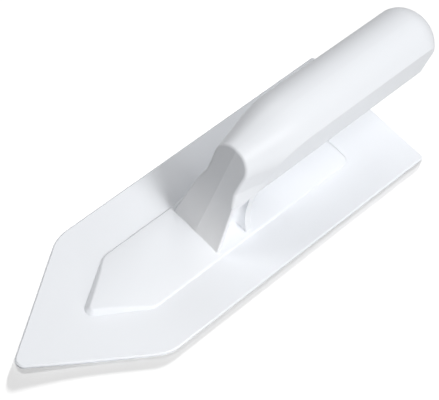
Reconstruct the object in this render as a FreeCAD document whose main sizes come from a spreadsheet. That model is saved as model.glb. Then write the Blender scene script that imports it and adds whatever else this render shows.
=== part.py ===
import FreeCAD, Part
import Sketcher
import math
import os
from FreeCAD import Placement, Rotation, Vector

# All-plastic pointed margin trowel: flat blade with a raised backing pad, I-section leg,
# and a barrel grip moulded as two half shells that clamp round the leg's post.
#
# Frame: origin on the blade's underside, at the middle of its straight-sided stretch.
# +X runs towards the grip's free end, the blade's point lies at -X, +Z is up.  Millimetres.

# name, size in mm (or degrees where the note says so), note
SIZES = [
    ("blade_width", 80.0, "across the parallel sides"),
    ("blade_straight", 178.0, "length of the parallel sides"),
    ("blade_nose", 62.0, "from the shoulder line to the sharp point"),
    ("blade_thickness", 2.0, "plate thickness"),
    ("blade_bevel", 0.7, "bevel round the top edge"),
    ("shoulder_radius", 22.0, "plan rounding of the two shoulders"),
    ("tip_radius", 4.0, "plan rounding of the point"),
    ("back_corner_radius", 1.5, "plan rounding of the two back corners"),
    ("nose_lift", 1.5, "how far the point springs up"),
    ("nose_lift_run", 42.0, "length over which the nose rises, back from the sharp point"),
    ("pad_width", 36.4, "backing pad across its sides, at the blade"),
    ("pad_height", 2.5, "backing pad above the blade, along its middle"),
    ("pad_front_gap", 10.2, "blade shoulder line to pad shoulder line"),
    ("pad_back_gap", 32.5, "blade back edge to pad back edge"),
    ("pad_nose", 30.2, "pad shoulder line to its sharp point"),
    ("pad_tip_radius", 4.0, "plan rounding of the pad's point"),
    ("pad_shoulder_radius", 10.0, "plan rounding of the pad's shoulders"),
    ("pad_corner_radius", 5.0, "plan rounding of the pad's back corners"),
    ("pad_crown", 1.7, "fall of the pad's crowned top from its middle to its sides"),
    ("pad_edge_slope", 2.3, "width and height of the slope round the pad, before its crown"),
    ("pad_edge_radius", 1.2, "rounding of the pad's top edge"),
    ("leg_front_gap", 53.2, "blade shoulder line to the leg's foot"),
    ("leg_lean", 15.2, "degrees that the front face leans back"),
    ("leg_depth", 23.7, "foot from front to back"),
    ("leg_foot_width", 31.0, "front plate across the foot"),
    ("leg_rear_foot_width", 31.4, "rear plate across the foot"),
    ("leg_neck_width", 23.6, "leg and grip across their joint"),
    ("leg_flare_height", 15.7, "height of the rear plate's curved flare"),
    ("leg_flare_hollow", 0.8, "how far that flare curves in"),
    ("leg_wall", 2.6, "front plate"),
    ("leg_rear_wall", 3.8, "rear plate"),
    ("leg_web", 16.0, "web between the plates"),
    ("leg_top_flange", 2.6, "plate that carries the grip"),
    ("leg_gusset", 5.5, "how far the leg's top reaches back under the grip"),
    ("leg_gusset_radius", 5.0, "concave radius below that reach"),
    ("leg_pocket_radius", 2.2, "rounding inside the side pockets"),
    ("leg_edge_radius", 0.8, "rounding of the front's side edges"),
    ("front_ridge", 3.0, "degrees that each half of the front falls back from its ridge"),
    ("post_width", 9.0, "post inside the grip, across"),
    ("post_depth", 12.0, "post inside the grip, front to back"),
    ("post_height", 24.0, "post above the leg's top"),
    ("foot_peg", 4.6, "diameter of the two foot pegs"),
    ("foot_peg_length", 1.8, "pegs below the foot"),
    ("finger_clearance", 26.5, "pad top to the underside of the grip"),
    ("barrel_radius", 17.95, "grip at its fullest"),
    ("underside_cover", 0.1, "skirt's flat underside below the barrel"),
    ("barrel_end_radius", 17.4, "grip where the end dome starts"),
    ("nose_radius", 9.6, "grip at its front"),
    ("nose_knee", 7.0, "height over which the nose widens down to the leg's width"),
    ("nose_setback", 4.8, "leg's front at its foot to where the grip starts to swell"),
    ("nose_taper", 46.0, "length over which the nose swells to the barrel"),
    ("barrel_length", 83.0, "end of the swelling to the start of the end dome"),
    ("dome_length", 14.4, "end dome along the axis"),
    ("skirt_inset", 2.0, "how far the underside's outline lies inside the barrel's"),
    ("skirt_tuck", 0.1, "how far the skirt's outline starts inside the barrel's, at the axis"),
    ("flat_half_width", 15.5, "grip axis to each side flat, at the flat's top edge"),
    ("flat_top", 8.4, "flat's top edge above the axis"),
    ("flat_lean", 6.3, "degrees that each side flat leans in, downwards"),
    ("grip_rim_radius", 1.6, "rounding of the grip's front rim"),
    ("underside_bevel", 0.5, "bevel of the grip's lower edges"),
    ("grip_wall", 2.6, "shell wall"),
    ("rib_thickness", 8.0, "cross ribs inside the shells"),
    ("rib_pitch", 42.0, "distance between cross ribs"),
    ("pin_diameter", 4.0, "dowel pins between the half shells"),
    ("pin_length", 17.0, "dowel pins"),
    ("fit_gap", 0.1, "clearance round the post, pegs and pins"),
]

doc = FreeCAD.newDocument("margin_trowel")
sheet = doc.addObject("Spreadsheet::Sheet", "sizes")
for row, (alias, size, note) in enumerate(SIZES, start=1):
    sheet.set("A%d" % row, note)
    sheet.set("B%d" % row, str(size))
    sheet.setAlias("B%d" % row, alias)
doc.recompute()


def size_of(alias):
    """The plain number that the sheet holds under this name."""
    return float(sheet.get(alias))


# How far a form runs past the cut that trims it, and a cut past the form that it trims.
OVERRUN = 6.0

# Places that several pieces share, as expressions on the sheet.
SHOULDER_X = "(-sizes.blade_straight / 2)"
BACK_X = "(sizes.blade_straight / 2)"
TIP_X = "(-sizes.blade_straight / 2 - sizes.blade_nose)"
BLADE_TOP = "sizes.blade_thickness"
PAD_TOP = "(sizes.blade_thickness + sizes.pad_height)"
PAD_SHOULDER_X = "(-sizes.blade_straight / 2 + sizes.pad_front_gap)"
PAD_BACK_X = "(sizes.blade_straight / 2 - sizes.pad_back_gap)"
FOOT_FRONT_X = "(-sizes.blade_straight / 2 + sizes.leg_front_gap)"
FOOT_BACK_X = "(-sizes.blade_straight / 2 + sizes.leg_front_gap + sizes.leg_depth)"
FOOT_Z = "(sizes.blade_thickness + sizes.pad_height - sizes.pad_crown)"
UNDERSIDE = "(sizes.blade_thickness + sizes.pad_height + sizes.finger_clearance)"
LEAN = "tan(sizes.leg_lean * 1 deg)"
TOE_X = "(" + FOOT_FRONT_X + " - sizes.pad_crown * " + LEAN + ")"
AXIS_HEIGHT = "(" + UNDERSIDE + " + sizes.underside_cover + sizes.barrel_radius)"
POST_FRONT_X = ("(" + FOOT_FRONT_X + " + (sizes.finger_clearance + sizes.post_height) * " + LEAN
                + " + 1.5 * sizes.grip_wall)")
POST_BACK_X = "(" + POST_FRONT_X + " + sizes.post_depth)"
POST_MIDDLE_X = "(" + POST_FRONT_X + " + sizes.post_depth / 2)"

foot_front_x = -size_of("blade_straight") / 2 + size_of("leg_front_gap")
foot_back_x = foot_front_x + size_of("leg_depth")
pad_top = size_of("blade_thickness") + size_of("pad_height")
underside = pad_top + size_of("finger_clearance")
axis_height = underside + size_of("underside_cover") + size_of("barrel_radius")
lean = math.tan(math.radians(size_of("leg_lean")))
neck_front_x = foot_front_x + lean * size_of("finger_clearance")
taper_start_x = foot_front_x + size_of("nose_setback")
taper_end_x = taper_start_x + size_of("nose_taper")
dome_start_x = taper_end_x + size_of("barrel_length")
foot_z = pad_top - size_of("pad_crown")


def origin_plane(body, role):
    return next(item for item in body.Origin.OriginFeatures if item.Role == role)


def new_sketch(body, name, role, offset=None):
    """A sketch on one of the body's own origin planes, moved along its normal by an expression."""
    sketch = body.newObject("Sketcher::SketchObject", name)
    sketch.AttachmentSupport = [(origin_plane(body, role), "")]
    sketch.MapMode = "FlatFace"
    if offset:
        sketch.setExpression("AttachmentOffset.Base.z", offset)
    return sketch


def bind_point(sketch, geometry, end, across, up):
    """Tie one end of a sketch line to two expressions, measured from the sketch's origin."""
    for kind, text in (("DistanceX", across), ("DistanceY", up)):
        index = sketch.addConstraint(Sketcher.Constraint(kind, -1, 1, geometry, end, 1.0))
        sketch.setExpression("Constraints[%d]" % index, text)


def add_polygon(sketch, corners):
    """A closed run of lines whose corners are (across, up) expressions."""
    count = len(corners)
    ring = [Vector(math.cos(2 * math.pi * i / count), math.sin(2 * math.pi * i / count), 0)
            for i in range(count)]
    first = sketch.GeometryCount
    for i in range(count):
        sketch.addGeometry(Part.LineSegment(ring[i], ring[(i + 1) % count]), False)
    for i in range(count):
        following = first + (i + 1) % count
        sketch.addConstraint(Sketcher.Constraint("Coincident", first + i, 2, following, 1))
        bind_point(sketch, first + i, 1, *corners[i])


def add_feature(body, kind, name, profile=None, **settings):
    """A PartDesign feature; text settings are expressions, the others plain values."""
    feature = body.newObject("PartDesign::" + kind, name)
    if profile:
        feature.Profile = profile
        profile.Visibility = False
    for key, setting in settings.items():
        if isinstance(setting, str) and key != "Type":
            feature.setExpression(key, setting)
        else:
            setattr(feature, key, setting)
    doc.recompute()
    return feature


def dress_edges(body, kind, name, base, wanted, **settings):
    """A fillet or chamfer on the edges of base for which wanted(edge) holds."""
    names = ["Edge%d" % (i + 1) for i, edge in enumerate(base.Shape.Edges) if wanted(edge)]
    if not names:
        raise RuntimeError("no edges for " + name)
    feature = body.newObject("PartDesign::" + kind, name)
    feature.Base = (base, names)
    for key, setting in settings.items():
        feature.setExpression(key, setting)
    doc.recompute()
    return feature


def new_body(label):
    body = doc.addObject("PartDesign::Body", label)
    body.Label = label
    return body


def upright_at(x, y, reach=3.0):
    """Picks the edge that rises near a plan position, upright or leaning."""
    def wanted(edge):
        box = edge.BoundBox
        return box.ZLength > 0.3 and math.hypot(box.Center.x - x, box.Center.y - y) < reach
    return wanted


def either(*tests):
    return lambda edge: any(test(edge) for test in tests)


def build_blade():
    """Flat plate with a point in front; the point springs up a little and its top edge is bevelled."""
    body = new_body("blade")
    lift = size_of("nose_lift")
    run = size_of("nose_lift_run")
    thickness = size_of("blade_thickness")
    tip_x = -size_of("blade_straight") / 2 - size_of("blade_nose")
    back_x = size_of("blade_straight") / 2
    bend_x = tip_x + run
    bend_radius = (run * run + lift * lift) / (2 * lift)
    turn = math.asin(run / bend_radius)

    def bent(depth, share):
        """A point on the bend, depth above the underside, at a share of the turn."""
        radius = bend_radius - depth
        angle = turn * share
        return Vector(bend_x - radius * math.sin(angle), bend_radius - radius * math.cos(angle), 0)

    side = new_sketch(body, "blade_side", "XZ_Plane")
    under_back, under_bend = Vector(back_x, 0, 0), Vector(bend_x, 0, 0)
    top_back, top_bend = Vector(back_x, thickness, 0), Vector(bend_x, thickness, 0)
    past_tip = 1.05     # the strip runs a little past the point, so that the outline trims it
    side.addGeometry(Part.LineSegment(under_back, under_bend), False)
    side.addGeometry(Part.Arc(under_bend, bent(0, past_tip / 2), bent(0, past_tip)), False)
    side.addGeometry(Part.LineSegment(bent(0, past_tip), bent(thickness, past_tip)), False)
    side.addGeometry(Part.Arc(bent(thickness, past_tip), bent(thickness, past_tip / 2), top_bend), False)
    side.addGeometry(Part.LineSegment(top_bend, top_back), False)
    side.addGeometry(Part.LineSegment(top_back, under_back), False)
    add_feature(body, "Pad", "blade_plate", side, Length="sizes.blade_width", Midplane=True)

    half = "(sizes.blade_width / 2)"
    outline = new_sketch(body, "blade_outline", "XY_Plane")
    beyond = "(sizes.blade_width + sizes.blade_straight + sizes.blade_nose)"
    add_polygon(outline, [(beyond, beyond), ("-" + beyond, beyond),
                          ("-" + beyond, "-" + beyond), (beyond, "-" + beyond)])
    add_polygon(outline, [(BACK_X + " + 1", half), (SHOULDER_X, half), (TIP_X, "0"),
                          (SHOULDER_X, "-" + half), (BACK_X + " + 1", "-" + half)])
    shaped = add_feature(body, "Pocket", "blade_shape", outline, Type="ThroughAll", Midplane=True)

    half_width = size_of("blade_width") / 2
    shoulders = dress_edges(body, "Fillet", "blade_shoulders", shaped,
                            either(upright_at(-back_x, half_width), upright_at(-back_x, -half_width)),
                            Radius="sizes.shoulder_radius")
    point = dress_edges(body, "Fillet", "blade_point", shoulders, upright_at(tip_x, 0),
                        Radius="sizes.tip_radius")
    corners = dress_edges(body, "Fillet", "blade_corners", point,
                          either(upright_at(back_x, half_width), upright_at(back_x, -half_width)),
                          Radius="sizes.back_corner_radius")

    def top_rim(edge):
        box = edge.BoundBox
        across_bend = box.XLength < 0.01 and abs(box.XMin - bend_x) < 0.01
        return box.ZMin > thickness - 0.01 and not across_bend

    dress_edges(body, "Chamfer", "blade_bevelled_rim", corners, top_rim, Size="sizes.blade_bevel")
    return body


def add_circle(sketch, across, up, radius):
    """A full circle placed and sized by expressions."""
    index = sketch.addGeometry(Part.Circle(Vector(0, 0, 0), Vector(0, 0, 1), 1.0), False)
    bind_point(sketch, index, 3, across, up)
    size = sketch.addConstraint(Sketcher.Constraint("Radius", index, 1.0))
    sketch.setExpression("Constraints[%d]" % size, radius)


PEG_CENTRES = (FOOT_FRONT_X + " + sizes.leg_wall + sizes.foot_peg",
               FOOT_BACK_X + " - sizes.leg_rear_wall / 2 - sizes.foot_peg / 2")


def crown_outline(body, name, level):
    """The region between the pad's crowned top and a level line above or below it."""
    half, fall = size_of("pad_width") / 2, size_of("pad_crown")
    radius = (half * half + fall * fall) / (2 * fall)
    reach = 1.3 * half
    low = pad_top - radius + math.sqrt(radius * radius - reach * reach)
    sketch = new_sketch(body, name, "YZ_Plane")
    left, right = Vector(-reach, low, 0), Vector(reach, low, 0)
    sketch.addGeometry(Part.Arc(left, Vector(0, pad_top, 0), right), False)
    add_outline(sketch, [[(reach, low), (reach, level)], [(reach, level), (-reach, level)],
                         [(-reach, level), (-reach, low)]])
    return sketch


def build_backing_pad():
    """Raised plate that spreads the leg's load: a point in front, sloping edges, a crowned top."""
    body = new_body("backing_pad")
    half = "(sizes.pad_width / 2)"
    outline = new_sketch(body, "pad_outline", "XY_Plane", BLADE_TOP)
    add_polygon(outline, [(PAD_BACK_X, half), (PAD_SHOULDER_X, half),
                          (PAD_SHOULDER_X + " - sizes.pad_nose", "0"),
                          (PAD_SHOULDER_X, "-" + half), (PAD_BACK_X, "-" + half)])
    plate = add_feature(body, "Pad", "pad_plate", outline, Length="sizes.pad_height")
    half_width = size_of("pad_width") / 2
    shoulder_x = -size_of("blade_straight") / 2 + size_of("pad_front_gap")
    back_x = size_of("blade_straight") / 2 - size_of("pad_back_gap")
    point = dress_edges(body, "Fillet", "pad_point", plate,
                        upright_at(shoulder_x - size_of("pad_nose"), 0), Radius="sizes.pad_tip_radius")
    shoulders = dress_edges(body, "Fillet", "pad_shoulders", point,
                            either(upright_at(shoulder_x, half_width), upright_at(shoulder_x, -half_width)),
                            Radius="sizes.pad_shoulder_radius")
    corners = dress_edges(body, "Fillet", "pad_corners", shoulders,
                          either(upright_at(back_x, half_width), upright_at(back_x, -half_width)),
                          Radius="sizes.pad_corner_radius")
    sloped = dress_edges(body, "Chamfer", "pad_sloping_edge", corners,
                         lambda edge: edge.BoundBox.ZMin > pad_top - 0.01, Size="sizes.pad_edge_slope")
    crown = crown_outline(body, "pad_crown_outline", pad_top + size_of("pad_height"))
    crowned = add_feature(body, "Pocket", "pad_crowned_top", crown, Type="ThroughAll", Midplane=True)
    expect_change(sloped, crowned, -1)
    rounded = dress_edges(body, "Fillet", "pad_rounded_edge", crowned,
                          lambda edge: edge.BoundBox.ZMin > foot_z - 0.3,
                          Radius="sizes.pad_edge_radius")
    seats = new_sketch(body, "peg_seats", "XY_Plane", PAD_TOP)
    for centre in PEG_CENTRES:
        add_circle(seats, centre, "0", "sizes.foot_peg / 2 + sizes.fit_gap")
    cut = add_feature(body, "Pocket", "pad_peg_seats", seats,
                      Length="sizes.foot_peg_length + sizes.fit_gap")
    expect_change(rounded, cut, -1)
    return body


def expect_change(before, after, sign):
    """Stops the build if a feature that should add or remove material did neither."""
    change = after.Shape.Volume - before.Shape.Volume
    if change * sign <= 0:
        raise RuntimeError("%s changed the volume by %.3f" % (after.Name, change))


def cut_front_ridge(body, name, base):
    """Takes a shallow V off the leaning front, so that a ridge stays along its middle."""
    reach = "sizes.leg_foot_width"
    fall = " + sizes.leg_foot_width * tan(sizes.front_ridge * 1 deg)"
    arrow = new_sketch(body, name + "_arrow", "XY_Plane", FOOT_Z)
    ahead = TOE_X + " - sizes.leg_wall"
    add_polygon(arrow, [(TOE_X, "0"), (TOE_X + fall, reach), (ahead, reach),
                        (ahead, "-" + reach), (TOE_X + fall, "-" + reach)])
    ridge = add_feature(body, "Pocket", name, arrow, UseCustomVector=True,
                        Direction=Vector(lean, 0, 1),
                        Length="2 * (sizes.finger_clearance + 2 * sizes.barrel_radius)")
    expect_change(base, ridge, -1)
    return ridge


def flare_outline(body, name, offset, foot_half, bend_z=None):
    """Two regions to take off a plate's sides: a straight flare, or one curved up to a height."""
    neck = size_of("leg_neck_width") / 2
    sketch = new_sketch(body, name, "YZ_Plane", offset)
    for side in (1, -1):
        foot, top, beyond = (side * foot_half, foot_z), (side * neck, underside), side * 2 * foot_half
        if bend_z:
            bend = (side * neck, bend_z)
            hollow = (side * ((foot_half + neck) / 2 - size_of("leg_flare_hollow")), (foot_z + bend_z) / 2)
            sketch.addGeometry(Part.Arc(Vector(*foot, 0), Vector(*hollow, 0), Vector(*bend, 0)), False)
        else:
            bend = foot
        add_outline(sketch, [[bend, top], [top, (beyond, underside)],
                             [(beyond, underside), (beyond, foot_z)], [(beyond, foot_z), foot]])
    return sketch


def build_leg():
    """I-section riser: flared front and rear plates, a web, a top flange, pegs below, a post above."""
    body = new_body("leg")
    gusset_x = FOOT_BACK_X + " + sizes.leg_gusset"
    lip = UNDERSIDE + " - sizes.leg_top_flange / 2"
    side = new_sketch(body, "leg_side", "XZ_Plane")
    add_polygon(side, [(TOE_X, FOOT_Z),
                       (FOOT_FRONT_X + " + sizes.finger_clearance * " + LEAN, UNDERSIDE),
                       (gusset_x, UNDERSIDE), (gusset_x, lip), (FOOT_BACK_X, lip),
                       (FOOT_BACK_X, FOOT_Z)])
    block = add_feature(body, "Pad", "leg_block", side, Midplane=True,
                        Length="max(sizes.leg_foot_width; sizes.leg_rear_foot_width)")
    inner_z = underside - size_of("leg_top_flange") / 2

    def gusset_corner(edge):
        box = edge.BoundBox
        level = box.ZLength < 0.01 and abs(box.ZMin - inner_z) < 0.01
        return level and box.XLength < 0.01 and abs(box.XMin - foot_back_x) < 0.01

    base = dress_edges(body, "Fillet", "leg_rear_gusset", block, gusset_corner,
                       Radius="sizes.leg_gusset_radius")

    pocket_top = "(" + UNDERSIDE + " - sizes.leg_top_flange)"
    front_wall = FOOT_FRONT_X + " + sizes.leg_wall"
    back_wall = FOOT_BACK_X + " - sizes.leg_rear_wall"
    sides = (("right", "sizes.leg_web / 2", True), ("left", "-sizes.leg_web / 2", False))
    for name, offset, outward in sides:
        opening = new_sketch(body, "leg_pocket_" + name, "XZ_Plane", offset)
        rise = " + (sizes.finger_clearance - sizes.leg_top_flange) * " + LEAN
        add_polygon(opening, [(TOE_X + " + sizes.leg_wall", FOOT_Z),
                              (front_wall + rise, pocket_top), (back_wall, pocket_top),
                              (back_wall, FOOT_Z)])
        pocket = add_feature(body, "Pocket", "leg_side_pocket_" + name, opening,
                             Length="sizes.leg_foot_width + sizes.leg_rear_foot_width",
                             Reversed=outward)
        expect_change(base, pocket, -1)
        base = pocket

    half_web = size_of("leg_web") / 2

    def inside_pocket(edge):
        box = edge.BoundBox
        on_web = abs(abs(box.YMin) - half_web) < 0.01 and box.YLength < 0.01
        return on_web and box.ZMax < underside - 0.01 and (box.ZMin > pad_top + 0.01 or box.ZLength > 1)

    base = dress_edges(body, "Fillet", "leg_pocket_rounding", base, inside_pocket,
                       Radius="sizes.leg_pocket_radius")
    between_plates = FOOT_BACK_X + " - sizes.leg_rear_wall - sizes.leg_pocket_radius"
    straight = flare_outline(body, "leg_front_flare", between_plates, size_of("leg_foot_width") / 2)
    curved = flare_outline(body, "leg_rear_flare", between_plates, size_of("leg_rear_foot_width") / 2,
                           foot_z + size_of("leg_flare_height"))
    crown = crown_outline(body, "leg_foot_outline", 0.0)
    for name, outline, settings in (
            ("leg_straight_flare", straight, {"Length": "sizes.leg_depth"}),
            ("leg_curved_flare", curved, {"Length": "sizes.leg_depth", "Reversed": True}),
            ("leg_crowned_foot", crown, {"Type": "ThroughAll", "Midplane": True})):
        cut = add_feature(body, "Pocket", name, outline, **settings)
        expect_change(base, cut, -1)
        base = cut
    ridge = cut_front_ridge(body, "leg_front_ridge", base)

    def front_side_edge(edge):
        box = edge.BoundBox
        return box.ZLength > 20 and box.XMin < foot_front_x + 1 and box.YLength > 1

    base = dress_edges(body, "Fillet", "leg_front_rounding", ridge, front_side_edge,
                       Radius="sizes.leg_edge_radius")
    outline = new_sketch(body, "post_outline", "XY_Plane", UNDERSIDE)
    half = "sizes.post_width / 2"
    add_polygon(outline, [(POST_FRONT_X, half), (POST_BACK_X, half),
                          (POST_BACK_X, "-" + half), (POST_FRONT_X, "-" + half)])
    post = add_feature(body, "Pad", "leg_post", outline, Length="sizes.post_height")
    hole = new_sketch(body, "post_hole", "XZ_Plane")
    add_circle(hole, POST_MIDDLE_X, AXIS_HEIGHT, "sizes.pin_diameter / 2 + sizes.fit_gap")
    drilled = add_feature(body, "Pocket", "leg_post_hole", hole, Type="ThroughAll", Midplane=True)
    expect_change(post, drilled, -1)
    pegs = new_sketch(body, "peg_outline", "XY_Plane", PAD_TOP)
    for centre in PEG_CENTRES:
        add_circle(pegs, centre, "0", "sizes.foot_peg / 2")
    pegged = add_feature(body, "Pad", "leg_foot_pegs", pegs, Length="sizes.foot_peg_length",
                         Reversed=True)
    expect_change(drilled, pegged, 1)
    return body


def bezier(*poles):
    """A Bezier curve through its first and last pole, as sketch geometry."""
    curve = Part.BezierCurve()
    curve.setPoles([Vector(*pole) for pole in poles])
    return curve.toBSpline()


def swell(start_x, start_radius, end_x, end_radius):
    """Poles of a curve that leaves and arrives in line with the axis."""
    third = (end_x - start_x) / 3
    return [(start_x, start_radius), (start_x + third, start_radius),
            (end_x - third, end_radius), (end_x, end_radius)]


def quarter_dome(start_x, radius, length):
    """Poles of a quarter ellipse from the barrel's side to the axis."""
    bulge = 4 * (math.sqrt(2) - 1) / 3
    return [(start_x, radius), (start_x + bulge * length, radius),
            (start_x + length, bulge * radius), (start_x + length, 0)]


def grip_profile(nose, barrel, end, dome):
    """Pole lists of the grip's half outline, from its blunt front to the end of the dome."""
    return [[(neck_front_x - OVERRUN, nose), (taper_start_x, nose)],
            swell(taper_start_x, nose, taper_end_x, barrel),
            [(taper_end_x, barrel), (dome_start_x, end)],
            quarter_dome(dome_start_x, end, dome)]


def add_outline(sketch, runs):
    for poles in runs:
        if len(poles) == 2:
            sketch.addGeometry(Part.LineSegment(Vector(*poles[0], 0), Vector(*poles[1], 0)), False)
        else:
            sketch.addGeometry(bezier(*[(x, y, 0) for x, y in poles]), False)


def mirrored(runs):
    """The same runs on the other side of the axis, in reverse, to close an outline."""
    return [[(x, -y) for x, y in reversed(poles)] for poles in reversed(runs)]


def chords(runs):
    """The same runs as straight lines, for the plain hollow."""
    return [[poles[0], poles[-1]] for poles in runs]


def build_grip_form(label, inset):
    """The grip's outer form, or with an inset the hollow inside it.

    A turned barrel with a flared nose and an end dome, a tapering skirt below its axis,
    a flat down each side, and a front cut off in line with the leg's leaning face.
    """
    body = new_body(label)
    nose = size_of("nose_radius") - inset
    barrel = size_of("barrel_radius") - inset
    end = size_of("barrel_end_radius") - inset
    dome = size_of("dome_length") - inset
    front_x = neck_front_x - OVERRUN
    bottom = underside + inset

    turned = new_sketch(body, label + "_turned", "XZ_Plane")
    turned.setExpression("AttachmentOffset.Base.y", AXIS_HEIGHT)
    runs = grip_profile(nose, barrel, end, dome)
    if inset:
        runs = chords(runs)
    add_outline(turned, runs)
    add_outline(turned, [[(runs[-1][-1][0], 0), (front_x, 0)], [(front_x, 0), (front_x, nose)]])
    revolved = add_feature(body, "Revolution", label + "_barrel", turned,
                           ReferenceAxis=(turned, ["H_Axis"]), Angle=360.0)

    tuck, drop = size_of("skirt_tuck"), axis_height - bottom
    knee = size_of("nose_knee")
    outlines = []
    for level, height, nose_half in (("waist", axis_height, nose - tuck),
                                     ("knee", bottom + knee, nose - tuck),
                                     ("hem", bottom, size_of("leg_neck_width") / 2 - inset)):
        outline = new_sketch(body, "%s_%s" % (label, level), "XY_Plane")
        outline.AttachmentOffset = Placement(Vector(0, 0, height), Rotation())
        inward = tuck + size_of("skirt_inset") * (axis_height - height) / drop
        runs = grip_profile(nose_half, barrel - inward, end - inward, dome - inward)
        if inset:
            runs = chords(runs)
        closing = [(front_x, -nose_half), (front_x, nose_half)]
        add_outline(outline, runs + mirrored(runs) + [closing])
        outlines.append(outline)
    waist, knee_line, hem = outlines
    skirt = add_feature(body, "AdditiveLoft", label + "_skirt", waist, Ruled=True,
                        Sections=[knee_line, hem])
    knee_line.Visibility = False
    hem.Visibility = False
    expect_change(revolved, skirt, 1)

    sides = new_sketch(body, label + "_flat_outline", "YZ_Plane")
    slope = math.tan(math.radians(size_of("flat_lean")))
    half = size_of("flat_half_width") - inset
    low, high = underside - OVERRUN, axis_height + size_of("flat_top") + OVERRUN
    for sign in (1, -1):
        corners = [(half - slope * (high - OVERRUN - low), low), (2 * barrel, low),
                   (2 * barrel, high), (half + slope * OVERRUN, high)]
        ring = [(sign * y, z) for y, z in corners]
        add_outline(sides, [[ring[i], ring[(i + 1) % 4]] for i in range(4)])
    flats = add_feature(body, "Pocket", label + "_side_flats", sides, Type="ThroughAll", Midplane=True)
    expect_change(skirt, flats, -1)

    front = new_sketch(body, label + "_front_outline", "XZ_Plane")
    setback = inset / math.cos(math.radians(size_of("leg_lean")))
    top = axis_height + 2 * barrel
    low_x = foot_front_x + setback
    high_x = low_x + lean * (top - pad_top)
    ahead = front_x - 2 * OVERRUN
    ring = [(low_x, pad_top), (high_x, top), (ahead, top), (ahead, pad_top)]
    add_outline(front, [[ring[i], ring[(i + 1) % 4]] for i in range(4)])
    cut = add_feature(body, "Pocket", label + "_leaning_front", front, Type="ThroughAll", Midplane=True)
    expect_change(flats, cut, -1)
    return body, cut


def build_right_outside():
    """The right half of the outer form, with a ridge down its leaning front and its edges eased."""
    body, front = build_grip_form("grip_outside", 0.0)
    ridge = cut_front_ridge(body, "grip_front_ridge", front)
    split = new_sketch(body, "grip_split_outline", "XZ_Plane")
    ahead = neck_front_x - 2 * OVERRUN
    ring = [(ahead, 0), (ahead, 2 * axis_height),
            (2 * dome_start_x, 2 * axis_height), (2 * dome_start_x, 0)]
    add_outline(split, [[ring[i], ring[(i + 1) % 4]] for i in range(4)])
    half = add_feature(body, "Pocket", "grip_split", split, Type="ThroughAll", Reversed=True)
    expect_change(ridge, half, -1)

    def lower_edge(edge):
        box = edge.BoundBox
        return box.ZMax < underside + 0.01 and box.XMax > neck_front_x + 5 and box.YMax > 0.01

    bevelled = dress_edges(body, "Chamfer", "grip_lower_bevel", half, lower_edge,
                           Size="sizes.underside_bevel")

    def front_rim(edge):
        ends = [vertex.Point for vertex in edge.Vertexes]
        on_front = all(abs(x - foot_front_x - lean * (z - pad_top)) < 1.5 for x, y, z in ends)
        return on_front and edge.BoundBox.YLength > 0.01 and edge.BoundBox.ZLength > 1

    dress_edges(body, "Fillet", "grip_front_rim", bevelled, front_rim, Radius="sizes.grip_rim_radius")
    return body


def make_box(name, low, high):
    """A box between two corners given as expressions."""
    box = doc.addObject("Part::Box", name)
    for side, axis, start, end in zip(("Length", "Width", "Height"), "xyz", low, high):
        box.setExpression(side, "%s - (%s)" % (end, start))
        box.setExpression("Placement.Base." + axis, start)
    return box


def make_dowel(name, x, slack):
    """A cylinder across the grip on its axis, grown by the slack all round."""
    dowel = doc.addObject("Part::Cylinder", name)
    dowel.setExpression("Radius", "sizes.pin_diameter / 2 + " + slack)
    dowel.setExpression("Height", "sizes.pin_length + 2 * " + slack)
    dowel.Placement = Placement(Vector(0, 0, 0), Rotation(Vector(1, 0, 0), -90))
    dowel.setExpression("Placement.Base.x", x)
    dowel.setExpression("Placement.Base.y", "-(sizes.pin_length / 2 + %s)" % slack)
    dowel.setExpression("Placement.Base.z", AXIS_HEIGHT)
    return dowel


def combine(kind, name, base, tool):
    """The Part boolean of that kind, as its own object."""
    result = doc.addObject("Part::" + kind, name)
    result.Label = name
    result.Base = base
    result.Tool = tool
    return result


def gather(kind, name, members, link):
    """Several solids as one object."""
    group = doc.addObject("Part::" + kind, name)
    group.Label = name
    setattr(group, link, members)
    return group


def build_grip():
    """Two half shells, split along the middle, that hold the post and two cross ribs' dowel pins."""
    outside = build_right_outside()
    hollow, _ = build_grip_form("grip_hollow", size_of("grip_wall"))
    far = "2 * sizes.barrel_radius"
    low, high = "-" + far, AXIS_HEIGHT + " + " + far
    stations = [POST_MIDDLE_X + " + %d * sizes.rib_pitch" % i for i in range(3)]
    ribs = [make_box("post_socket", (FOOT_FRONT_X, low, low),
                     (POST_BACK_X + " + sizes.grip_wall", far, high))]
    for i, x in enumerate(stations[1:], start=1):
        ribs.append(make_box("cross_rib_%d" % i, (x + " - sizes.rib_thickness / 2", low, low),
                             (x + " + sizes.rib_thickness / 2", far, high)))
    chambers = combine("Cut", "grip_chambers", hollow, gather("MultiFuse", "grip_ribs", ribs, "Shapes"))
    seat = make_box("post_seat",
                    (POST_FRONT_X + " - sizes.fit_gap", "-(sizes.post_width / 2 + sizes.fit_gap)",
                     UNDERSIDE + " - sizes.grip_wall"),
                    (POST_BACK_X + " + sizes.fit_gap", "(sizes.post_width / 2 + sizes.fit_gap)",
                     UNDERSIDE + " + sizes.post_height + sizes.fit_gap"))
    bores = [make_dowel("pin_bore_%d" % i, x, "sizes.fit_gap") for i, x in enumerate(stations)]
    openings = gather("MultiFuse", "grip_openings", [seat] + bores, "Shapes")
    hollowed = combine("Cut", "grip_right_hollowed", outside, chambers)
    right = combine("Cut", "grip_right_shell", hollowed, openings)
    left = doc.addObject("Part::Mirroring", "grip_left_shell")
    left.Label = "grip_left_shell"
    left.Source = right
    left.Normal = Vector(0, 1, 0)
    pins = gather("Compound", "grip_pins",
                  [make_dowel("pin_%d" % i, x, "0") for i, x in enumerate(stations)], "Links")
    doc.recompute()
    return [right, left, pins]


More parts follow.
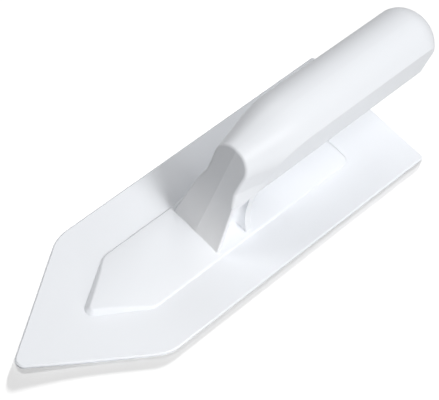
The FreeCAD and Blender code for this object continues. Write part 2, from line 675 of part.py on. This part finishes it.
pieces = [build_blade(), build_backing_pad(), build_leg()] + build_grip()
doc.recompute()
for item in doc.Objects:
    if "Invalid" in item.State or "Error" in item.State:
        raise RuntimeError("failed: " + item.Label)
for piece in pieces:
    if piece.Shape.isNull() or not piece.Shape.isValid():
        raise RuntimeError("bad shape: " + piece.Label)
    box = piece.Shape.optimalBoundingBox(False)
    print(piece.Label, len(piece.Shape.Solids), round(piece.Shape.Volume, 1), box)

os.makedirs("parts", exist_ok=True)
for piece in pieces:
    piece.Shape.exportStep("parts/%s.step" % piece.Label)
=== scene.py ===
import math

import bmesh
import bpy
from mathutils import Matrix, Vector


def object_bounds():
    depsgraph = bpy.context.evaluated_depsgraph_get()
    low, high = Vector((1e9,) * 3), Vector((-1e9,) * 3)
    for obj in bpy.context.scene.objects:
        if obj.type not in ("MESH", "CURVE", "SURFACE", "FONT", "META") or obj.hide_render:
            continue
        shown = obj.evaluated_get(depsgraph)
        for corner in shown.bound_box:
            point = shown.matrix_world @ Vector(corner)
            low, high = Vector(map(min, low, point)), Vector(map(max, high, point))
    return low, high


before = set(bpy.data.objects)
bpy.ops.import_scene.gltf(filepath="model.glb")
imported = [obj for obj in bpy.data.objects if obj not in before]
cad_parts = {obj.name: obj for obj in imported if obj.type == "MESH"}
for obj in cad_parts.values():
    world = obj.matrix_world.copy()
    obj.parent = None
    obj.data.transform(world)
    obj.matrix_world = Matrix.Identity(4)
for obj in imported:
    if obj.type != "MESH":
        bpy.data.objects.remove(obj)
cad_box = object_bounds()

MM = 0.001
WHITE = (1.0, 1.0, 1.0, 1.0)

# Places are given in millimetres from the blade's tip: along the tool, across it and up.
TIP = Vector((cad_box[0][0], 0.0, cad_box[0][2]))

# Camera: a look from ahead of the blade's tip, beside it and well above it, then rolled.
AIM = TIP + Vector((116.72, -5.2, 34.0)) * MM
AZIMUTH, ELEVATION, ROLL = -57.95, 55.67, 16.6
CAMERA_DISTANCE = 839.6 * MM
SENSOR_WIDTH = 36.0
LENS = 147.6

# Plastics: cool whites with faint flow marks, an uneven polish and a fine grain.
PLASTICS = [
    # name, tone, roughness, scale of the grain, the pieces that are made of it
    ("blade_white", (0.862, 0.882, 0.915), 0.46, 1400.0, ["blade", "backing_pad"]),
    ("grip_white", (0.840, 0.860, 0.893), 0.40, 1000.0, ["leg", "grip_right_shell", "grip_left_shell"]),
    ("pin_white", (0.80, 0.81, 0.82), 0.50, 1800.0, ["grip_pins"]),
]
PLASTIC_IOR = 1.49
PLASTIC_SPECULAR = 0.2
FLOW_SCALE = (9.0, 30.0, 30.0)
FLOW_DETAIL = 3.0
FLOW_BEND = 0.6
FLOW_CONTRAST = 0.03
HANDLING_SCALE = 70.0
HANDLING_DETAIL = 4.0
HANDLING_CONTRAST = 0.08
GRAIN_DETAIL = 2.0
GRAIN_STRENGTH = 0.12
GRAIN_DEPTH = 0.02 * MM
NOISE_MIDDLE = 0.5
FINISH_SOCKETS = [
    ("Tone", "INPUT", "NodeSocketColor"),
    ("Mean Roughness", "INPUT", "NodeSocketFloat"),
    ("Grain Scale", "INPUT", "NodeSocketFloat"),
    ("Colour", "OUTPUT", "NodeSocketColor"),
    ("Roughness", "OUTPUT", "NodeSocketFloat"),
    ("Height", "OUTPUT", "NodeSocketFloat"),
]

# Floor: it lies just under the blade, and the lift is seen by the camera alone.
FLOOR_REACH = 3.0
FLOOR_GAP = 0.02 * MM
FLOOR_TONE = 0.80
FLOOR_LIFT = 0.385

# Soft lamps: one set lights the grip and its leg, the other the blade and its pad.
LAMP_DISTANCE = 1.1
LAMP_SIZE = 0.5
LAMPS = [
    # name, azimuth, elevation, watts, the set of pieces that it lights
    ("grip_key_lamp", 0.0, 55.0, 10.5, "grip"),
    ("grip_low_lamp", 0.0, 10.0, 1.0, "grip"),
    ("grip_rear_lamp", 120.0, 70.0, 1.0, "grip"),
    ("grip_far_lamp", 160.0, 40.0, 4.0, "grip"),
    ("plate_key_lamp", 10.0, 50.0, 7.4, "plate"),
    ("plate_low_lamp", 0.0, 20.0, 2.5, "plate"),
    ("plate_high_lamp", 60.0, 70.0, 3.0, "plate"),
    ("plate_left_lamp", 220.0, 30.0, 4.0, "plate"),
    ("plate_rear_lamp", 120.0, 35.0, 2.0, "plate"),
]
LIT_PIECES = {
    "grip": ["leg", "grip_right_shell", "grip_left_shell", "grip_pins"],
    "plate": ["blade", "backing_pad"],
}

# Spots: narrow beams that lift the leg's foot and the near edge of the blade's nose.
SPOT_DISTANCE = 0.6
SPOT_SOURCE_SIZE = 0.02
SPOTS = [
    # name, azimuth, elevation, width in degrees, watts, colour, place aimed at
    ("foot_spot", 305.0, 4.5, 5.2, 4.8, (1.0, 0.94, 0.86), (113.62, -8.0, 5.0)),
    ("nose_edge_spot", 325.0, 3.0, 8.5, 3.4, (0.96, 0.98, 1.0), (29.62, -19.0, 2.0)),
]

# Suns: they light the floor alone, and the blade's shadow on it is the only one they draw.
FLOOR_SUNS = [
    # name, azimuth, elevation, width in degrees, strength, whether the blade blocks it
    ("floor_sun", 119.0, 14.0, 5.0, 5.4, True),
    ("floor_edge_sun", 165.0, 50.0, 12.0, 1.15, True),
    ("floor_fill_sun", 0.0, 90.0, 0.5, 0.45, False),
]


def look(position, target, roll_degrees=0.0):
    """A matrix for a camera or lamp at position that faces target."""
    forward = (target - position).normalized()
    right = forward.cross(Vector((0, 0, 1))).normalized()
    up = right.cross(forward)
    turned = Matrix((right, up, -forward)).transposed().to_4x4()
    return Matrix.Translation(position) @ turned @ Matrix.Rotation(math.radians(roll_degrees), 4, "Z")


def seen_from(azimuth, elevation, distance):
    """The offset of a viewer: azimuth 0 looks along +Y, and azimuth 90 along -X."""
    a, e = math.radians(azimuth), math.radians(elevation)
    return Vector((math.sin(a) * math.cos(e), -math.cos(a) * math.cos(e), math.sin(e))) * distance


def add_object(name, data):
    """A new object in the scene."""
    item = bpy.data.objects.new(name, data)
    bpy.context.scene.collection.objects.link(item)
    return item


def add_camera():
    """The scene's camera, turned to the tool."""
    camera = bpy.data.cameras.new("camera")
    camera.sensor_width = SENSOR_WIDTH
    camera.lens = LENS
    item = add_object("camera", camera)
    item.matrix_world = look(AIM + seen_from(AZIMUTH, ELEVATION, CAMERA_DISTANCE), AIM, ROLL)
    bpy.context.scene.camera = item


def group_of(name, items):
    """A collection kept out of the scene, for the lamps' lists."""
    group = bpy.data.collections.new(name)
    for item in items:
        group.objects.link(item)
    return group


def add_lamps(tool):
    """Soft lamps, each for the grip's or the plate's pieces alone."""
    groups = {part: group_of("lit_" + part, [tool[piece] for piece in pieces])
              for part, pieces in LIT_PIECES.items()}
    for name, azimuth, elevation, watts, part in LAMPS:
        lamp = bpy.data.lights.new(name, "AREA")
        lamp.shape = "DISK"
        lamp.size = LAMP_SIZE
        lamp.energy = watts
        item = add_object(name, lamp)
        item.matrix_world = look(AIM + seen_from(azimuth, elevation, LAMP_DISTANCE), AIM)
        item.light_linking.receiver_collection = groups[part]


def add_spots(tool):
    """Narrow soft-edged beams for the tool alone."""
    tool_group = group_of("lit_tool", tool.values())
    for name, azimuth, elevation, width, watts, colour, place in SPOTS:
        spot = bpy.data.lights.new(name, "SPOT")
        spot.spot_size = math.radians(width)
        spot.spot_blend = 1.0
        spot.shadow_soft_size = SPOT_SOURCE_SIZE
        spot.energy = watts
        spot.color = colour
        item = add_object(name, spot)
        target = TIP + Vector(place) * MM
        item.matrix_world = look(target + seen_from(azimuth, elevation, SPOT_DISTANCE), target)
        item.light_linking.receiver_collection = tool_group


def add_floor_suns(tool, floor):
    """Suns for the floor alone, where the blade is the only piece that can block them."""
    floor_group = group_of("lit_floor", [floor])
    shadow_group = group_of("floor_shadow", [tool["blade"]])
    for name, azimuth, elevation, width, strength, blocked in FLOOR_SUNS:
        sun = bpy.data.lights.new(name, "SUN")
        sun.angle = math.radians(width)
        sun.energy = strength
        sun.use_shadow = blocked
        item = add_object(name, sun)
        item.matrix_world = look(seen_from(azimuth, elevation, 1.0), Vector((0, 0, 0)))
        item.light_linking.receiver_collection = floor_group
        item.light_linking.blocker_collection = shadow_group


def feed(tree, socket, value):
    """Links another node's output to a socket, or sets the socket to a number."""
    if isinstance(value, bpy.types.NodeSocket):
        tree.links.new(value, socket)
    else:
        socket.default_value = value


def calculate(tree, operation, *values):
    """The result of a Math node that works on numbers or other nodes' outputs."""
    node = tree.nodes.new("ShaderNodeMath")
    node.operation = operation
    for socket, value in zip(node.inputs, values):
        feed(tree, socket, value)
    return node.outputs["Value"]


def noise(tree, place, scale, detail, bend=0.0):
    """The value of a noise texture at a place, from 0 to 1."""
    node = tree.nodes.new("ShaderNodeTexNoise")
    tree.links.new(place, node.inputs["Vector"])
    feed(tree, node.inputs["Scale"], scale)
    node.inputs["Detail"].default_value = detail
    node.inputs["Distortion"].default_value = bend
    return node.outputs["Fac"]


def add_world():
    """Surroundings that are plain white to the camera and give no light of their own."""
    world = bpy.data.worlds.new("studio_world")
    bpy.context.scene.world = world
    world.use_nodes = True
    nodes, links = world.node_tree.nodes, world.node_tree.links
    nodes.clear()
    backdrop = nodes.new("ShaderNodeBackground")
    backdrop.inputs["Color"].default_value = WHITE
    path = nodes.new("ShaderNodeLightPath")
    output = nodes.new("ShaderNodeOutputWorld")
    links.new(path.outputs["Is Camera Ray"], backdrop.inputs["Strength"])
    links.new(backdrop.outputs["Background"], output.inputs["Surface"])


def floor_material():
    """Pale matte floor that reads as white where it is fully lit and keeps the tool's shadow."""
    material = bpy.data.materials.new("studio_floor")
    material.use_nodes = True
    tree = material.node_tree
    nodes, links = tree.nodes, tree.links
    nodes.clear()
    matte = nodes.new("ShaderNodeBsdfDiffuse")
    matte.inputs["Color"].default_value = (FLOOR_TONE, FLOOR_TONE, FLOOR_TONE, 1.0)
    path = nodes.new("ShaderNodeLightPath")
    lift = nodes.new("ShaderNodeEmission")
    both = nodes.new("ShaderNodeAddShader")
    output = nodes.new("ShaderNodeOutputMaterial")
    strength = calculate(tree, "MULTIPLY", path.outputs["Is Camera Ray"], FLOOR_LIFT)
    links.new(strength, lift.inputs["Strength"])
    links.new(matte.outputs["BSDF"], both.inputs[0])
    links.new(lift.outputs["Emission"], both.inputs[1])
    links.new(both.outputs["Shader"], output.inputs["Surface"])
    return material


def add_floor():
    """A flat square floor just under the blade."""
    mesh = bpy.data.meshes.new("floor")
    work = bmesh.new()
    bmesh.ops.create_grid(work, x_segments=1, y_segments=1, size=FLOOR_REACH)
    bmesh.ops.translate(work, vec=Vector((0, 0, cad_box[0][2] - FLOOR_GAP)), verts=work.verts)
    work.to_mesh(mesh)
    work.free()
    floor = add_object("floor", mesh)
    mesh.materials.append(floor_material())
    return floor


def mould_finish():
    """Shared look of moulded plastic: faint flow marks in its tone, uneven polish, a fine grain."""
    group = bpy.data.node_groups.new("mould_finish", "ShaderNodeTree")
    for name, direction, kind in FINISH_SOCKETS:
        group.interface.new_socket(name, in_out=direction, socket_type=kind)
    nodes, links = group.nodes, group.links
    given, made = nodes.new("NodeGroupInput"), nodes.new("NodeGroupOutput")
    place = nodes.new("ShaderNodeTexCoord").outputs["Object"]

    # Flow marks, drawn out along the tool
    along = nodes.new("ShaderNodeMapping")
    along.inputs["Scale"].default_value = FLOW_SCALE
    links.new(place, along.inputs["Vector"])
    flow = noise(group, along.outputs["Vector"], 1.0, FLOW_DETAIL, FLOW_BEND)
    swing = calculate(group, "SUBTRACT", flow, NOISE_MIDDLE)
    shade = nodes.new("ShaderNodeVectorMath")
    shade.operation = "SCALE"
    links.new(given.outputs["Tone"], shade.inputs[0])
    links.new(calculate(group, "MULTIPLY_ADD", swing, FLOW_CONTRAST, 1.0), shade.inputs["Scale"])
    links.new(shade.outputs["Vector"], made.inputs["Colour"])

    # Polish, uneven from handling
    handling = noise(group, place, HANDLING_SCALE, HANDLING_DETAIL)
    spread = calculate(group, "SUBTRACT", handling, NOISE_MIDDLE)
    roughness = calculate(group, "MULTIPLY_ADD", spread, HANDLING_CONTRAST, given.outputs["Mean Roughness"])
    links.new(roughness, made.inputs["Roughness"])

    # Grain, for the bump
    grain = noise(group, place, given.outputs["Grain Scale"], GRAIN_DETAIL)
    links.new(grain, made.inputs["Height"])
    return group


def moulded_plastic(name, finish, tone, roughness, grain_scale):
    """White plastic with the shared mould finish."""
    material = bpy.data.materials.new(name)
    material.use_nodes = True
    nodes, links = material.node_tree.nodes, material.node_tree.links
    shader = nodes["Principled BSDF"]
    shader.inputs["IOR"].default_value = PLASTIC_IOR
    shader.inputs["Specular IOR Level"].default_value = PLASTIC_SPECULAR
    mould = nodes.new("ShaderNodeGroup")
    mould.node_tree = finish
    mould.inputs["Tone"].default_value = (*tone, 1.0)
    mould.inputs["Mean Roughness"].default_value = roughness
    mould.inputs["Grain Scale"].default_value = grain_scale
    grain = nodes.new("ShaderNodeBump")
    grain.inputs["Strength"].default_value = GRAIN_STRENGTH
    grain.inputs["Distance"].default_value = GRAIN_DEPTH
    links.new(mould.outputs["Colour"], shader.inputs["Base Color"])
    links.new(mould.outputs["Roughness"], shader.inputs["Roughness"])
    links.new(mould.outputs["Height"], grain.inputs["Height"])
    links.new(grain.outputs["Normal"], shader.inputs["Normal"])
    return material


def dress(node, material):
    """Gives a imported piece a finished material."""
    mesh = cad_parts[node].data
    mesh.materials.clear()
    mesh.materials.append(material)


finish = mould_finish()
for name, tone, roughness, grain_scale, pieces in PLASTICS:
    plastic = moulded_plastic(name, finish, tone, roughness, grain_scale)
    for piece in pieces:
        dress(piece, plastic)

floor = add_floor()
add_world()
add_lamps(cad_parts)
add_spots(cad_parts)
add_floor_suns(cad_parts, floor)
add_camera()
bpy.context.scene.view_settings.view_transform = "Standard"
